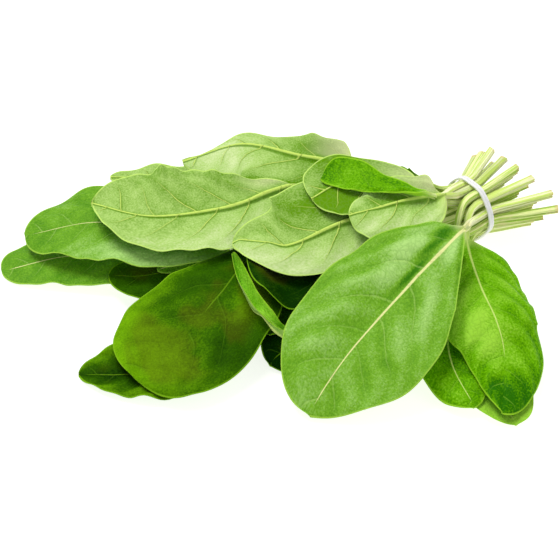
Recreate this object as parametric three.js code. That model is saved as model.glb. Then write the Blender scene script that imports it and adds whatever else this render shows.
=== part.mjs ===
// A bunch of sorrel, lying down: leaves on their stems, gathered and tied with a doubled elastic band.
// Millimetres and degrees. +X runs along the bunch, from its leaf tips to the cut stems, +Y away from the
// side over which the front leaves hang, and +Z up from the surface that the bunch lies on.
import * as THREE from "three";

// ---- Driving dimensions -------------------------------------------------------------------------

const STEM_RADIUS = 2.25; // in the band and beyond it
const NECK_RADIUS = 1.7; // where the stem runs on into its blade as the midrib
const STEM_PITCH = 5.3; // from stem to stem in the band
const ROW_PITCH = 4.75; // and from row to row
const STEM_BEYOND = 29.5; // from the band to the cut ends, in the middle of the bundle
const CUT_SLANT = 0.25; // by how much longer the stems are towards the near side
const CUT_SPREAD = 3; // and how far they differ from one another
const BUNDLE_FOOT = [0, 0]; // the middle of the tied stems, seen from above
const BUNDLE_HEADING = 38; // direction of the stems, from +X towards +Y
const SLOT_ROWS = [3, 4, 5, 6, 5, 4, 3]; // places for stems in the band, from the lowest row up
const ROUNDING = 0.8; // how far the stems above the lowest row crowd into a circle
const FAN_BEYOND = 0.035; // how the spacing of the stems grows for each mm beyond the band
const FAN_UPWARDS = 0.2; // the same upwards, as a share of it
const FAN_TURN = 0.4; // and how far the upper stems spread to the far side, and the lower to the near side
const FAN_WITHIN = 0.012; // and for each mm on the leaves' side
const HELD_BY = 4; // length on either side of the band over which a stem runs straight
const HELD_TO = 12; // and on the leaves' side on which it keeps its place, unless held gives its own

const BLADE_THICKNESS = 0.7;
const CLEARANCE = 0.7; // kept above the leaves that a leaf lies on
const STEEPEST_RAMP = 0.6; // rise per mm where a leaf climbs over others
const TIP_HALF_WIDTH = 0.7;
const FREE_FROM = 6; // distance from the band at which a stem may start to leave its place
const FREE_AT = 16; // and at which nothing holds it any more
const LOWEST = 0.05; // of a leaf above the surface

const STRAND_WIDTH = 1.9;
const STRAND_THICKNESS = 1.3;
const STRAND_GAP = 0.4; // between the two turns of the band
const BAND_FIT = 0.4; // between the band and the stems
const CROSSING_AT = 0.62; // where the two turns cross, as a share of the way round from the near side
const CROSSING_SPAN = 0.16;

const ACROSS_STEPS = 2; // points from the midrib to a margin
const BLADE_STEPS = 11; // sections along a blade
const INNER_STEPS = 8; // and along the blade of a leaf in the heap
const STEM_STEP = 16; // longest step along a stem
const BAND_STEPS = 40; // and along each turn of the band
const CELL = 1; // of the height map on which the leaves are laid

// ---- The leaves, from the lowest to the highest ---------------------------------------------------
// slot: row and place in the band. rib: points of the midrib from the blade's base to its tip, at the
// least height that it may have. roll: turn of the blade about its midrib at base, middle and tip; at 180
// its underside is up. left and right: width of that half of the blade, its angle to the blade's plane at
// the midrib, its further bend on the way to the margin, and how bluntly its outline closes at the base
// and at the tip. wave: height, number and phase of the margin's waves. held: length over which the stem
// keeps its place, where it turns sooner than the rest.
// A leaf of the heap has its heading from the band, its reach and its half width instead.

const LEAVES = [
  {
    name: "leaf_low_left",
    slot: [0, 0],
    rib: [[-142, -28, 8], [-178, -27, 7], [-212, -25, 6], [-245, -32, 2]],
    roll: [0, 0, 0],
    left: [22, 0, -4, 0.5, 0.5],
    right: [22, -3, -5, 0.5, 0.35],
    wave: [1, 3, 40],
  },
  {
    name: "leaf_low_front",
    slot: [0, 1],
    rib: [[-120, -90, 5], [-147, -106, 4], [-174, -109, 3], [-199, -108, 2]],
    roll: [0, 0, 0],
    left: [20, 5, 0, 0.5, 0.7],
    right: [24, 15, 10, 0.5, 0.6],
    wave: [1, 4, 0],
  },
  {
    name: "leaf_low_right",
    slot: [0, 2],
    rib: [[-6, -73, 5], [1, -105, 5], [7, -126, 4], [13, -142, 2]],
    roll: [0, 0, 0],
    left: [18, 5, 5, 0.5, 0.4],
    right: [18, 5, 5, 0.5, 0.5],
    wave: [1, 3, 90],
  },
  { name: "leaf_heap_01", slot: [1, 0], heading: -50, reach: 150, half: 20 },
  {
    name: "leaf_dark_tip",
    slot: [1, 1],
    rib: [[-128, -35, 12], [-151, -41, 10], [-169, -44, 8], [-188, -43, 7]],
    roll: [0, 0, 0],
    left: [19, 5, 0, 0.5, 0.5],
    right: [19, 5, 0, 0.5, 0.5],
    wave: [1, 3, 0],
  },
  { name: "leaf_heap_02", slot: [1, 2], heading: 5, reach: 147, half: 22 },
  {
    name: "leaf_under_right",
    slot: [1, 3],
    rib: [[-12, -53, 8], [-17, -84, 9], [-16, -110, 7], [-7, -135, 4]],
    roll: [0, 0, 0],
    left: [18, 5, 0, 0.5, 0.5],
    right: [18, 5, 0, 0.5, 0.5],
    wave: [1, 3, 0],
  },
  { name: "leaf_heap_03", slot: [2, 0], heading: -64, reach: 95, half: 17 },
  { name: "leaf_heap_04", slot: [2, 1], heading: -40, reach: 140, half: 20 },
  { name: "leaf_heap_05", slot: [2, 2], heading: -15, reach: 130, half: 20 },
  {
    name: "leaf_beside_hanging",
    slot: [2, 3],
    rib: [[-97, -59, 13], [-104, -76, 10], [-105, -88, 8]],
    roll: [0, 0, 0],
    left: [12, 0, 0, 0.5, 0.6],
    right: [12, 0, 0, 0.5, 0.6],
    wave: [0.6, 3, 0],
  },
  { name: "leaf_heap_07", slot: [2, 4], heading: 44, reach: 75, half: 10 },
  { name: "leaf_heap_06", slot: [3, 5], heading: 14, reach: 130, half: 20 },
  {
    name: "leaf_back_tip",
    slot: [3, 0],
    rib: [[-127, 18, 20], [-159, 22, 20], [-191, 24, 20]],
    roll: [180, 180, 180],
    left: [14, 0, 0, 0.5, 0.7],
    right: [14, 0, 0, 0.5, 0.7],
    wave: [1, 3, 0],
  },
  {
    name: "leaf_small_tip",
    slot: [3, 2],
    rib: [[-133, -35, 16], [-149, -39, 14], [-163, -43, 13]],
    roll: [0, 0, 0],
    left: [9, 0, 0, 0.5, 0.7],
    right: [9, 0, 0, 0.5, 0.7],
    wave: [0.6, 3, 0],
  },
  {
    name: "leaf_left",
    slot: [3, 1],
    rib: [[-123, -31, 20], [-159, -24, 22], [-197, -14, 20], [-234, -13, 10]],
    roll: [0, 0, 0],
    left: [28, 0, -5, 0.5, 0.5],
    right: [30, 3, -8, 0.5, 0.4],
    wave: [1.5, 3, 0],
  },
  {
    name: "leaf_hanging",
    slot: [3, 3],
    rib: [[-108, -40, 23], [-131, -74, 22], [-149, -97, 14], [-171, -117, 7]],
    roll: [0, 0, 0],
    left: [35, 2, -15, 0.5, 0.35],
    right: [36, 5, -15, 0.8, 0.38],
    wave: [1.2, 3, 0],
  },
  {
    name: "leaf_creased",
    slot: [3, 4],
    rib: [[-96, -95, 10], [-109, -92, 23], [-118, -72, 24], [-124, -46, 27]],
    roll: [0, 0, 0],
    left: [10, 68, 10, 0.6, 0.6],
    right: [9, 60, 10, 0.6, 0.6],
    wave: [0.6, 3, 0],
  },
  {
    name: "leaf_back",
    slot: [4, 0],
    rib: [[-62, 21, 30], [-89, 27, 32], [-121, 37, 32], [-152, 27, 28]],
    roll: [178, 175, 178],
    left: [27, 2, 4, 0.35, 1.7],
    right: [31, 5, 5, 0.5, 0.6],
    wave: [1.5, 3, 0],
  },
  {
    name: "leaf_olive",
    slot: [4, 2],
    rib: [[-72, -45, 20], [-85, -57, 15], [-91, -72, 12]],
    roll: [0, 0, 0],
    left: [9, 20, 0, 0.5, 0.7],
    right: [9, 20, 0, 0.5, 0.7],
    wave: [0.6, 3, 0],
  },
  {
    name: "leaf_dark",
    slot: [4, 3],
    rib: [[-59, -39, 24], [-85, -52, 23], [-117, -55, 26]],
    roll: [0, 0, 0],
    left: [30, 0, 0, 0.5, 0.35],
    right: [24, 0, 0, 0.5, 0.4],
    wave: [0.8, 3, 0],
  },
  {
    name: "leaf_upper_left",
    slot: [4, 1],
    rib: [[-90, 2, 30], [-131, -17, 32], [-167, -24, 33], [-198, -10, 30]],
    roll: [188, 188, 188],
    left: [31, -10, 0, 0.9, 0.5],
    right: [30, -6, 0, 0.5, 0.85],
    wave: [1.6, 3, 0],
  },
  {
    name: "leaf_right",
    slot: [5, 3],
    rib: [[-4, -30, 22], [0, -68, 24], [6, -94, 24], [9, -107, 17], [6, -141, 9]],
    roll: [0, 0, 0],
    left: [26, 5, -50, 0.28, 0.45],
    right: [27, 5, -35, 0.7, 0.9],
    wave: [1, 3, 0],
  },
  {
    name: "leaf_back_right",
    slot: [5, 0],
    rib: [[-23, 12, 24], [-36, 15, 27], [-46, 29, 23]],
    roll: [0, 0, 0],
    left: [9, 0, 0, 0.5, 0.7],
    right: [9, 0, 0, 0.5, 0.7],
    wave: [0.6, 3, 0],
  },
  {
    name: "leaf_middle",
    slot: [5, 1],
    rib: [[-43, -22, 36], [-71, -32, 34], [-97, -47, 33], [-124, -47, 34]],
    roll: [184, 184, 184],
    left: [33, -9, 0, 0.5, 0.6],
    right: [24, 9, 0, 0.5, 0.6],
    wave: [1, 3, 0],
  },
  {
    name: "leaf_short",
    slot: [5, 2],
    rib: [[-26, -17, 40], [-46, -8, 40], [-67, -9, 42], [-84, -18, 38]],
    roll: [180, 180, 180],
    left: [22, -3, 0, 0.65, 0.4],
    right: [26, 3, 0, 0.5, 0.4],
    wave: [0.8, 3, 0],
  },
  { name: "leaf_heap_08", slot: [6, 2], heading: 30, reach: 80, half: 10 },
  {
    name: "leaf_puckered",
    slot: [6, 1],
    rib: [[-15, -25, 48], [-36, -27, 46], [-51, -32, 45], [-65, -33, 40]],
    roll: [180, 180, 180],
    left: [22, 2, 0, 0.4, 0.5],
    right: [25, 8, 8, 0.35, 0.5],
    wave: [0.6, 4, 0],
  },
  {
    name: "leaf_folded",
    slot: [6, 0],
    rib: [[-22, -28, 38], [-45, -22, 43], [-64, -14, 44], [-79, -8, 44]],
    roll: [10, 20, 20],
    left: [3, 0, 0, 0.9, 0.4],
    right: [16, 8, 6, 1.3, 0.3],
    wave: [0.6, 3, 0],
  },
  {
    name: "leaf_front",
    slot: [4, 4],
    held: 8,
    rib: [[-7, -46, 33], [-34, -76, 32], [-63, -107, 18], [-86, -138, 3]],
    roll: [0, 0, 0],
    left: [38, 6, -14, 1.3, 0.88],
    right: [36, 2, -8, 0.55, 0.4],
    wave: [1.2, 4, 0],
  },
];

// ---- Small helpers --------------------------------------------------------------------------------

const { cos, sin, PI, max, min, abs, pow, hypot, round, ceil, floor } = Math;
const rad = (degrees) => (degrees * PI) / 180;
const mix = (a, b, t) => a + (b - a) * t;
const ramp = (a, b, x) => min(1, max(0, (x - a) / (b - a)));
const smooth = (a, b, x) => {
  const t = ramp(a, b, x);
  return t * t * (3 - 2 * t);
};
const vec = (p) => new THREE.Vector3(...p);
const UP = new THREE.Vector3(0, 0, 1);

// Value at t of a list of numbers that are spread evenly over 0 to 1.
function along(list, t) {
  const x = ramp(0, 1, t) * (list.length - 1);
  const i = min(list.length - 2, floor(x));
  return mix(list[i], list[i + 1], x - i);
}

// Seeded draw from -1 to 1, the same at each run.
function draw(seed) {
  const x = sin(seed * 12.9898) * 43758.5453;
  return 2 * (x - floor(x)) - 1;
}

// ---- The bundle of stems ----------------------------------------------------------------------------

const AXIS = vec([cos(rad(BUNDLE_HEADING)), sin(rad(BUNDLE_HEADING)), 0]);
const ACROSS = new THREE.Vector3().crossVectors(AXIS, UP); // towards the near side
const MIDDLE_ROW = (SLOT_ROWS.length - 1) / 2;
const BUNDLE_RISE = MIDDLE_ROW * ROW_PITCH; // from the middle to the highest stems
const BUNDLE_SIDE = ((max(...SLOT_ROWS) - 1) / 2) * STEM_PITCH * cos(rad(30));
const CENTRE = vec([...BUNDLE_FOOT, STRAND_THICKNESS + BAND_FIT + STEM_RADIUS + BUNDLE_RISE]);

// Offset of a stem from the middle of the bundle, across it and up. The stems are packed in a hexagon
// that lies on one flat side and is rounded above it.
function slotOffset([row, place]) {
  const across = (place - (SLOT_ROWS[row] - 1) / 2) * STEM_PITCH;
  const up = (row - MIDDLE_ROW) * ROW_PITCH;
  const slant = abs(across) * cos(rad(30)) + abs(up) * sin(rad(30));
  const share = max(abs(up) / BUNDLE_RISE, slant / BUNDLE_SIDE);
  const bulge = max(0, (share * BUNDLE_RISE) / max(hypot(across, up), 1) - 1);
  const grow = 1 + ROUNDING * ramp(-10, 2, up) * bulge;
  return [across * grow, up * grow];
}

// Point of a stem at a distance from the band that is positive towards the cut ends.
function stemPoint(slot, distance) {
  const [across, up] = slotOffset(slot);
  const fan = (distance > 0 ? FAN_BEYOND : FAN_WITHIN) * max(0, abs(distance) - HELD_BY);
  const rise = distance > 0 ? FAN_UPWARDS * fan * max(0, up + 4) : 0;
  const turn = distance > 0 ? FAN_TURN * fan * up : 0;
  return CENTRE.clone()
    .addScaledVector(AXIS, distance)
    .addScaledVector(ACROSS, across * (1 + fan) - turn)
    .addScaledVector(UP, up + rise);
}

// ---- One leaf -----------------------------------------------------------------------------------------

// Fills in a leaf of the heap, which runs down to the surface as far as the ones before it let it.
function heapLeaf({ heading, reach, half, ...rest }, seed) {
  const top = stemPoint(rest.slot, -HELD_TO).z;
  const way = (share, swing) => {
    const turned = AXIS.clone().negate().applyAxisAngle(UP, rad(heading + swing));
    const [x, y] = BUNDLE_FOOT;
    return [x + share * reach * turned.x, y + share * reach * turned.y, mix(top, LOWEST, share)];
  };
  const swing = 5 * draw(seed);
  const bend = 8 * draw(seed + 0.5);
  return {
    rib: [way(0.45, -swing), way(0.72, 0), way(1, swing)],
    roll: draw(seed + 0.3) > 0.2 ? [180, 180, 180] : [0, 0, 0],
    left: [half, bend, -bend, 0.5, 0.5],
    right: [half, bend, -bend, 0.5, 0.5],
    wave: [1, 3, 180 * draw(seed + 0.7)],
    steps: INNER_STEPS,
    ...rest,
  };
}

// Line of the stem and the midrib, with the lengths at which the band, the blade and the tip are.
function leafLine(leaf, seed) {
  const [across, up] = slotOffset(leaf.slot);
  const cut = STEM_BEYOND + CUT_SLANT * across + CUT_SPREAD * draw(seed);
  const stem = [cut, cut / 2, HELD_BY, -HELD_BY, -(leaf.held ?? HELD_TO)].map((s) => stemPoint(leaf.slot, s));
  const points = [...stem, ...leaf.rib.map(vec)];
  const curve = new THREE.CatmullRomCurve3(points, false, "centripetal");
  const lengths = curve.getLengths(40 * (points.length - 1));
  const at = (index) => lengths[40 * index];
  return { curve, lengths, band: at(2) + HELD_BY, base: at(stem.length), end: at(points.length - 1) };
}

// Place, side and upward directions at a length along the line.
function frameAt({ curve, lengths }, length) {
  let i = 1;
  while (i < lengths.length - 1 && lengths[i] < length) i++;
  const t = (i - 1 + ramp(lengths[i - 1], lengths[i], length)) / (lengths.length - 1);
  const forward = curve.getTangent(t);
  const side = new THREE.Vector3().crossVectors(forward, UP).normalize();
  const up = new THREE.Vector3().crossVectors(side, forward);
  return { point: curve.getPoint(t), side, up };
}

// Half the width of a side of the blade at u, from 0 at its base to 1 at its tip.
function halfWidth(u, [widest, , , blunt, point]) {
  const at = blunt / (blunt + point);
  return max(widest * pow(u / at, blunt) * pow((1 - u) / (1 - at), point), TIP_HALF_WIDTH);
}

// Point of the blade in its section, from -1 at the left margin to 1 at the right one: across and up from
// the midrib, with the direction of the surface there.
function bladePoint(leaf, u, v) {
  const sign = v < 0 ? -1 : 1;
  const half = v < 0 ? leaf.left : leaf.right;
  const [fold, turn] = [rad(half[1]), rad(half[2])];
  const width = halfWidth(u, half);
  const q = abs(v);
  const angle = fold + turn * q;
  const flat = abs(turn) < 1e-4;
  const x = flat ? q * cos(fold) : (sin(angle) - sin(fold)) / turn;
  const y = flat ? q * sin(fold) : (cos(fold) - cos(angle)) / turn;
  const [height, waves, phase] = leaf.wave;
  const wave = height * q * q * sin(2 * PI * waves * u + rad(phase + 65 * sign));
  return { x: sign * width * x, y: width * y + wave * smooth(0, 0.15, u), angle: q ? sign * angle : 0 };
}

// The section's points in order round the leaf: its top side from left to right, then its underside with
// the midrib. Each has a place across the blade, a side of it, and an angle on the round stem.
function sectionPlan(steps) {
  const plan = [];
  for (let j = -steps; j <= steps; j++) plan.push({ v: j / steps, side: 1, angle: 90 - (75 * j) / steps });
  for (let j = steps; j >= 1; j--)
    plan.push({ v: j / steps, side: -1, angle: -15 - (30 * (steps - j)) / (steps - 1) });
  plan.push({ rib: 1, angle: -70 }, { rib: 0, angle: -90 }, { rib: -1, angle: -110 });
  for (let j = 1; j <= steps; j++)
    plan.push({ v: -j / steps, side: -1, angle: -135 - (30 * (j - 1)) / (steps - 1) });
  return plan;
}

// Offsets, across and up, of the section's points at a length along the leaf's line.
function section(leaf, line, plan, length) {
  const u = ramp(line.base, line.end, length);
  const stem = mix(STEM_RADIUS, NECK_RADIUS, ramp(line.band, line.base, length));
  const rib = max(NECK_RADIUS * pow(1 - u, 0.8), 0.5);
  const blade = smooth(line.base - 4, line.base + 9, length);
  const lift = rib - BLADE_THICKNESS / 2;
  return plan.map(({ v, side, rib: place, angle }) => {
    const onStem = [stem * cos(rad(angle)), stem * sin(rad(angle))];
    let onBlade = [place * rib, place ? lift - BLADE_THICKNESS / 2 : -rib];
    if (place === undefined) {
      const p = bladePoint(leaf, u, v);
      const t = (side * BLADE_THICKNESS) / 2;
      onBlade = [p.x - t * sin(p.angle), lift + p.y + t * cos(p.angle)];
    }
    return [mix(onStem[0], onBlade[0], blade), mix(onStem[1], onBlade[1], blade)];
  });
}

// Lengths along the line at which the leaf has its sections: those of the stem, and those of the blade,
// which lie closer at its base and tip.
function stations({ band, base, end }, steps) {
  const start = base - 4;
  const loose = min(band + FREE_AT, start);
  const free = ceil((start - loose) / STEM_STEP);
  const stem = [0, band - HELD_BY, band + HELD_BY, band + (HELD_BY + FREE_AT) / 2];
  for (let i = 0; i < free; i++) stem.push(mix(loose, start, i / free));
  const blade = [];
  for (let i = 0; i <= steps; i++) {
    const t = i / steps;
    blade.push(mix(start, end, t - (0.5 * sin(2 * PI * t)) / (2 * PI)));
  }
  return { lengths: [...stem, ...blade], onStem: stem.length };
}

// The rings of points of a leaf, one for each section.
function leafRings(leaf, seed) {
  const line = leafLine(leaf, seed);
  const plan = sectionPlan(ACROSS_STEPS);
  const { lengths, onStem } = stations(line, leaf.steps ?? BLADE_STEPS);
  const rings = lengths.map((length) => {
    const { point, side, up } = frameAt(line, length);
    const roll = rad(along(leaf.roll, ramp(line.base, line.end, length)));
    const right = side.clone().multiplyScalar(cos(roll)).addScaledVector(up, sin(roll));
    const top = up.clone().multiplyScalar(cos(roll)).addScaledVector(side, -sin(roll));
    return section(leaf, line, plan, length).map(([x, y]) =>
      point.clone().addScaledVector(right, x).addScaledVector(top, y),
    );
  });
  return { rings, fromBand: lengths.map((length) => length - line.band), onStem };
}

// ---- Laying the leaves on one another ------------------------------------------------------------------

const heights = new Map(); // highest point so far in each cell of the plan
const cellOf = (x, y) => round(x / CELL) * 10000 + round(y / CELL);

// Calls use(x, y, z) on points of a four-sided face that lie closer than a cell.
function samplePatch(a, b, c, d, use) {
  const across = ceil(max(a.distanceTo(b), d.distanceTo(c)) / (0.8 * CELL));
  const length = ceil(max(a.distanceTo(d), b.distanceTo(c)) / (0.8 * CELL));
  const p = new THREE.Vector3();
  const q = new THREE.Vector3();
  for (let m = 0; m <= across; m++) {
    p.lerpVectors(a, b, m / across);
    q.lerpVectors(d, c, m / across);
    for (let i = 0; i <= length; i++)
      use(mix(p.x, q.x, i / length), mix(p.y, q.y, i / length), mix(p.z, q.z, i / length));
  }
}

// Calls use(a, b, c, d, i, j) on each face between neighbouring rings.
function eachFace(rings, use) {
  for (let i = 0; i + 1 < rings.length; i++)
    rings[i].forEach((a, j) => {
      const k = (j + 1) % rings[i].length;
      use(a, rings[i][k], rings[i + 1][k], rings[i + 1][j], i, j);
    });
}

// How far a face must rise to clear what is below it, and the surface that the bunch lies on.
function riseOf(a, b, c, d) {
  let rise = 0;
  samplePatch(a, b, c, d, (x, y, z) => {
    const below = heights.get(cellOf(x, y));
    rise = max(rise, LOWEST - z, below === undefined ? 0 : below + CLEARANCE - z);
  });
  return rise;
}

// Writes a face into the height map, half a cell wider all round than it is.
function settle(a, b, c, d) {
  samplePatch(a, b, c, d, (x, y, z) => {
    for (const i of [-0.5, 0.5])
      for (const j of [-0.5, 0.5]) {
        const cell = cellOf(x + i * CELL, y + j * CELL);
        const was = heights.get(cell);
        if (was === undefined || was < z) heights.set(cell, z);
      }
  });
}

// Column of the blade, counted from its left margin, in which the j-th point of a section lies. The three
// points of the midrib lie in the middle one.
function columnBelow(j, steps) {
  if (j <= 2 * steps) return j;
  if (j <= 3 * steps) return 4 * steps + 1 - j;
  return j < 3 * steps + 4 ? steps : 4 * steps + 3 - j;
}

// Raises a leaf, with no steep step in its surface, until it lies clear above the ones before it.
function lay({ rings, fromBand, onStem }, steps) {
  const columns = 2 * steps + 1;
  const columnOf = rings[0].map((_, j) => columnBelow(j, steps));
  const needs = rings.map(() => Array(columns).fill(0));
  eachFace(rings, (a, b, c, d, i, j) => {
    const rise = riseOf(a, b, c, d);
    for (const column of [columnOf[j], columnOf[(j + 1) % columnOf.length]])
      for (const ring of [i, i + 1]) needs[ring][column] = max(needs[ring][column], rise);
  });
  const marks = needs.flatMap((row, i) => row.map((need, k) => ({ need, at: rings[i][k] })));
  const calling = marks.filter(({ need }) => need > 0);
  const rises = rings.map((ring, i) => {
    const free = smooth(FREE_FROM, FREE_AT, fromBand[i]);
    const row = needs[i].map((_, k) =>
      calling.reduce((most, { need, at }) => max(most, need - STEEPEST_RAMP * at.distanceTo(ring[k])), 0),
    );
    return row.map((rise) => free * (i <= onStem ? max(...row) : rise));
  });
  rings.forEach((ring, i) => ring.forEach((p, j) => (p.z += rises[i][columnOf[j]])));
  eachFace(rings, settle);
}

// ---- Solids ------------------------------------------------------------------------------------------

// Closed solid through rings of points that run clockwise as seen along their path. Both sides of a blade
// are split along the same diagonals, so that they stay parallel where it is waved.
function solidThrough(rings, topFaces, closed) {
  const n = rings[0].length;
  const count = rings.length;
  const positions = rings.flat().flatMap((p) => [p.x, p.y, p.z]);
  const index = [];
  for (let i = 0; i < (closed ? count : count - 1); i++)
    for (let j = 0; j < n; j++) {
      const k = (j + 1) % n;
      const next = ((i + 1) % count) * n;
      const [a, b, c, d] = [i * n + j, i * n + k, next + k, next + j];
      if (j < topFaces) index.push(a, b, c, a, c, d);
      else index.push(a, b, d, b, c, d);
    }
  const last = (count - 1) * n;
  for (let j = 1; !closed && j + 1 < n; j++) {
    index.push(0, j + 1, j);
    index.push(last, last + j, last + j + 1);
  }
  const geometry = new THREE.BufferGeometry();
  geometry.setAttribute("position", new THREE.Float32BufferAttribute(positions, 3));
  geometry.setIndex(index);
  return geometry;
}

// ---- The band --------------------------------------------------------------------------------------------

// One turn of the band's middle line, across and up from the middle of the bundle: the taut line round
// the outermost stems, as points at equal distances.
function bandTurn() {
  const stems = [];
  SLOT_ROWS.forEach((count, row) => {
    for (let place = 0; place < count; place++) stems.push(slotOffset([row, place]));
  });
  const reach = STEM_RADIUS + BAND_FIT + STRAND_THICKNESS / 2;
  const corners = [];
  for (let degrees = 0; degrees < 360; degrees += 4) {
    const [x, y] = [cos(rad(degrees)), sin(rad(degrees))];
    const reachOf = (stem) => stem[0] * x + stem[1] * y;
    const far = stems.reduce((best, stem) => (reachOf(stem) > reachOf(best) + 1e-9 ? stem : best));
    corners.push(new THREE.Vector2(far[0] + reach * x, far[1] + reach * y));
  }
  const path = new THREE.CurvePath();
  corners.forEach((p, i) => path.add(new THREE.LineCurve(p, corners[(i + 1) % corners.length])));
  return [...Array(BAND_STEPS).keys()].map((i) => path.getPointAt(i / BAND_STEPS));
}

// The band is one loop that runs twice round the stems and crosses over itself once.
function bandRings() {
  const turn = bandTurn();
  const apart = (STRAND_WIDTH + STRAND_GAP) / 2;
  const chamfer = 0.3;
  const [w, t] = [STRAND_WIDTH / 2, STRAND_THICKNESS / 2];
  const outline = [[-w, t - chamfer], [-w + chamfer, t], [w - chamfer, t], [w, t - chamfer]];
  outline.push([w, chamfer - t], [w - chamfer, -t], [chamfer - w, -t], [-w, chamfer - t]);
  const rings = [];
  for (let i = 0; i < 2 * BAND_STEPS; i++) {
    const here = turn[i % BAND_STEPS];
    const before = turn[(i + BAND_STEPS - 1) % BAND_STEPS];
    const after = turn[(i + 1) % BAND_STEPS];
    const way = after.clone().sub(before).normalize();
    const outward = new THREE.Vector2(way.y, -way.x);
    const second = i >= BAND_STEPS;
    const share = (i % BAND_STEPS) / BAND_STEPS;
    const crossed = smooth(CROSSING_AT - CROSSING_SPAN / 2, CROSSING_AT + CROSSING_SPAN / 2, share);
    const over = STRAND_THICKNESS + STRAND_GAP;
    const lifted = second ? over * sin(PI * crossed) : 0;
    const sideways = (second ? -1 : 1) * mix(-apart, apart, crossed);
    const middle = CENTRE.clone()
      .addScaledVector(ACROSS, here.x + lifted * outward.x)
      .addScaledVector(UP, here.y + lifted * outward.y);
    const out = ACROSS.clone().multiplyScalar(outward.x).addScaledVector(UP, outward.y);
    rings.push(
      outline.map(([x, y]) => middle.clone().addScaledVector(AXIS, sideways + x).addScaledVector(out, y)),
    );
  }
  return rings;
}

// ---- The bunch ---------------------------------------------------------------------------------------

const TOP_UP = new THREE.MeshStandardMaterial({ color: 0x4f8f22, roughness: 0.45, metalness: 0 });
const UNDERSIDE_UP = new THREE.MeshStandardMaterial({ color: 0x9cc36b, roughness: 0.65, metalness: 0 });
const ELASTIC = new THREE.MeshStandardMaterial({ color: 0xe9e9e4, roughness: 0.6, metalness: 0 });

const bunch = new THREE.Group();
bunch.name = "sorrel_bunch";

function addPiece(name, geometry, material) {
  const mesh = new THREE.Mesh(geometry, material);
  mesh.name = name;
  bunch.add(mesh);
}

LEAVES.forEach((entry, number) => {
  const leaf = entry.rib ? entry : heapLeaf(entry, number + 1);
  const grown = leafRings(leaf, number + 1);
  lay(grown, ACROSS_STEPS);
  const solid = solidThrough(grown.rings, 2 * ACROSS_STEPS, false);
  addPiece(leaf.name, solid, leaf.roll[1] > 90 ? UNDERSIDE_UP : TOP_UP);
});
addPiece("band", solidThrough(bandRings(), 4, true), ELASTIC);

// The origin is on the surface, under the middle of the bunch.
const middle = new THREE.Box3().setFromObject(bunch, true).getCenter(new THREE.Vector3());
bunch.position.set(-middle.x, -middle.y, 0);

export default bunch;
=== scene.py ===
"""A bunch of sorrel, lying down, tied with a doubled white elastic band: its looks.

Lengths in the tables and formulas are millimetres and angles degrees, as in the part's source, and
MM turns them to metres in the meshes. +X runs along the bunch towards the cut stems, +Z up.
"""

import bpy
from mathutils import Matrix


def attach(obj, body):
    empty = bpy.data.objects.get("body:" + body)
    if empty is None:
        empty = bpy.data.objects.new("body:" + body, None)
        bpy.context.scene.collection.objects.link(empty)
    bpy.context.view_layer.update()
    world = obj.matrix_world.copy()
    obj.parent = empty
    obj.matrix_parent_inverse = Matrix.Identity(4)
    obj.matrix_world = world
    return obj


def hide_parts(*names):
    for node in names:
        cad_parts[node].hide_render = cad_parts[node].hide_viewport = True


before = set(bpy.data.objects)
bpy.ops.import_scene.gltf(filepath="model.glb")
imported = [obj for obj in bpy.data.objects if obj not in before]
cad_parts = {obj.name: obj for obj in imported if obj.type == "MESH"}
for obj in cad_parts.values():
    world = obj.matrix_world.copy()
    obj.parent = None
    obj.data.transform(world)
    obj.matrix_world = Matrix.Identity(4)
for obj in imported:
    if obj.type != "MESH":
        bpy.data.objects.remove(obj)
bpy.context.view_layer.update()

from functools import partial

import bpy
import numpy as np
from mathutils import Matrix

MM = 0.001

# ---- Dimensions, as in the part's source ------------------------------------------------------------

STEM_RADIUS = 2.25
NECK_RADIUS = 1.7
STEM_PITCH = 5.3
ROW_PITCH = 4.75
STEM_BEYOND, CUT_SLANT, CUT_SPREAD = 29.5, 0.25, 3
BUNDLE_HEADING = np.radians(38)
SLOT_ROWS = [3, 4, 5, 6, 5, 4, 3]
ROUNDING = 0.8
FAN_BEYOND, FAN_UPWARDS, FAN_TURN, FAN_WITHIN = 0.035, 0.2, 0.4, 0.012
HELD_BY, HELD_TO, FREE_AT = 4, 12, 16
BLADE_FROM, BLADE_TO = -4, 9  # where the stem turns into the blade, from the blade's base
SOLID_THICKNESS = 0.7
TIP_HALF_WIDTH = 0.7
LOWEST = 0.05
SOLID_STEPS, HEAP_STEPS, STEM_STEP = 11, 8, 16
LINE_STEPS = 40  # from one of a line's points to the next, to measure its length
STRAND_THICKNESS, STRAND_GAP, BAND_FIT = 1.3, 0.4, 0.4
CROSSING_AT, CROSSING_SPAN = 0.62, 0.16
BUNCH_MIDDLE = np.array([-99.18496131896973, -45.62069129943848, 0])  # where the shared frame's origin is

# ---- Finer than the solids --------------------------------------------------------------------------

BLADE_THICKNESS = 0.45
RIB_REACH = 1.3  # of the midrib's swelling, in midrib radii
RIB_COLUMNS = 5  # points from the middle of the midrib to its edge
VEIN_PITCH, WIDE_HALF = 19, 30  # between the side veins of a leaf whose wider half is that wide
VEIN_SLANT, VEIN_CURVE = 0.75, 0.010  # of a side vein towards the tip, per mm and per square mm away
# PILLOW_LIGHT paints light on the bulge between side veins and shade along the veins.
PILLOW_HEIGHT, PILLOW_LIGHT = 0.6, 0.07  # of the bulge between side veins, and how much brighter it is
BASE_LENGTH = 6  # of the blade's start, up to which a stem climbs evenly from the band
STRAND_WIDTH = 1.6  # of the taut strand
STRANDS_APART, STRANDS_SPREAD = 0.52, 0.22  # widths from their middle line on top, and more at the bottom
CORNER_PASSES = 40  # how often the band's line is evened out at the bundle's corners

# ---- The leaves, from the lowest to the highest, as in the part's source ----------------------------

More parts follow.
